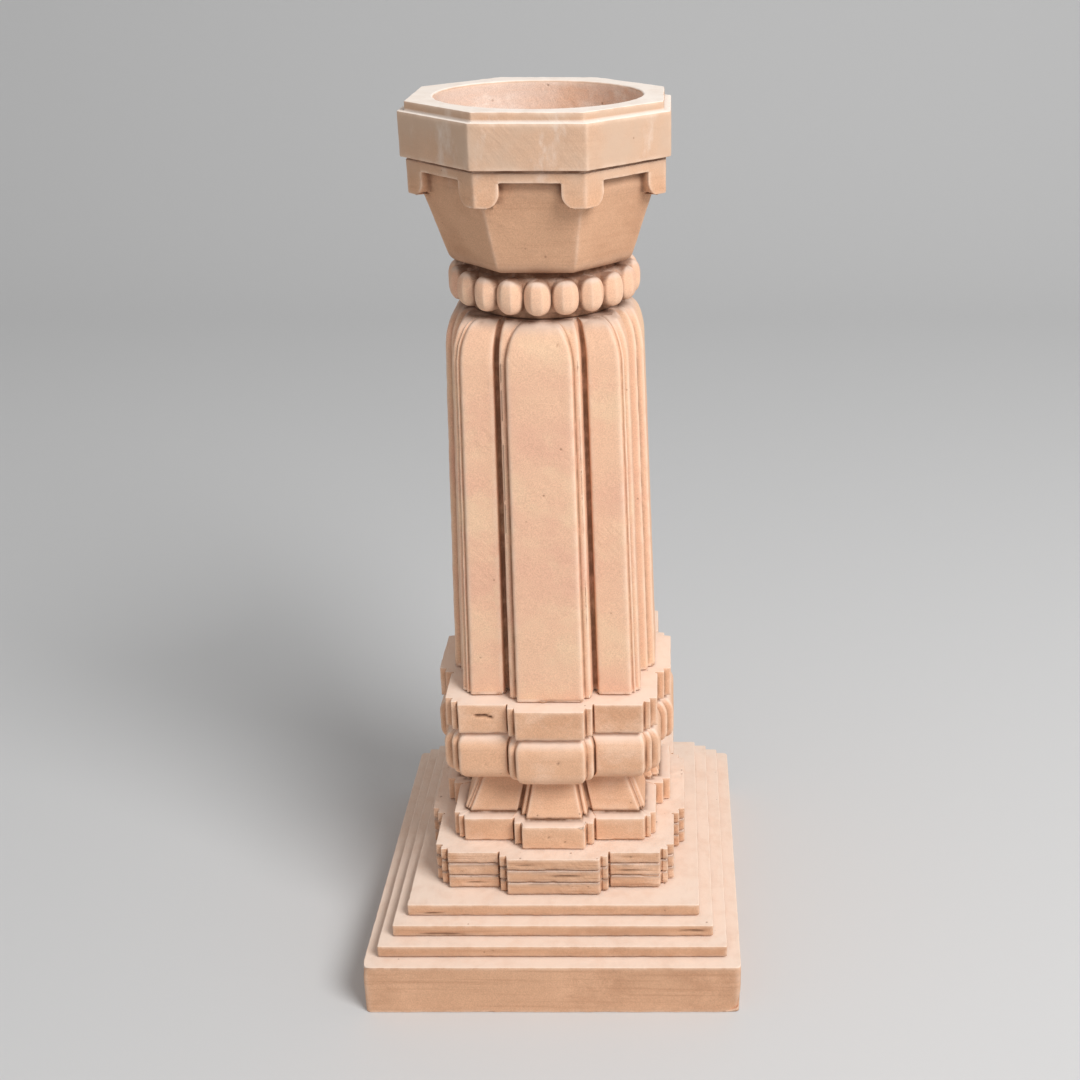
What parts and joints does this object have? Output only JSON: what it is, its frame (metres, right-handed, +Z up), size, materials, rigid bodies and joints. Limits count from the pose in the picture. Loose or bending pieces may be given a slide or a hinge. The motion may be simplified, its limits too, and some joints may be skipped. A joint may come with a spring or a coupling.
{
  "type": "tulsi planter pedestal",
  "caption": "Carved sandstone pedestal planter: stepped square base, tapered temple-column shaft with lotus and torus courses, bead ring, and an octagonal bowl with a round hollow.",
  "frame": {"origin": "centre of the plinth's underside", "axes": "+Z up the column's axis, +X to the right and +Y to the back, each square to a side of the plinth"},
  "size_m": [0.4, 0.4, 0.9297],
  "materials": {
    "sandstone": "rubbed buff-pink sandstone, matt, faint dressing lines and pits",
    "mortar": "weathered lime mortar, rough and recessed",
    "steel": "plain stainless bar"
  },
  "bodies": {
    "root": {"plinth_slab": "sandstone", "lower_step_slab": "sandstone", "middle_step_slab": "sandstone", "upper_step_slab": "sandstone", "lower_foot_course": "sandstone", "middle_foot_course": "sandstone", "upper_foot_course": "sandstone", "lotus_course": "sandstone", "torus_course": "sandstone", "collar_course": "sandstone", "shaft": "sandstone", "bead_course": "sandstone", "bowl": "sandstone", "lower_step_bed": "mortar", "middle_step_bed": "mortar", "upper_step_bed": "mortar", "lower_foot_bed": "mortar", "middle_foot_bed": "mortar", "upper_foot_bed": "mortar", "lotus_bed": "mortar", "torus_bed": "mortar", "collar_bed": "mortar", "shaft_bed": "mortar", "bead_course_bed": "mortar", "bowl_bed": "mortar", "core_rod": "steel", "bowl_pin": "steel"}
  },
  "joints": []
}
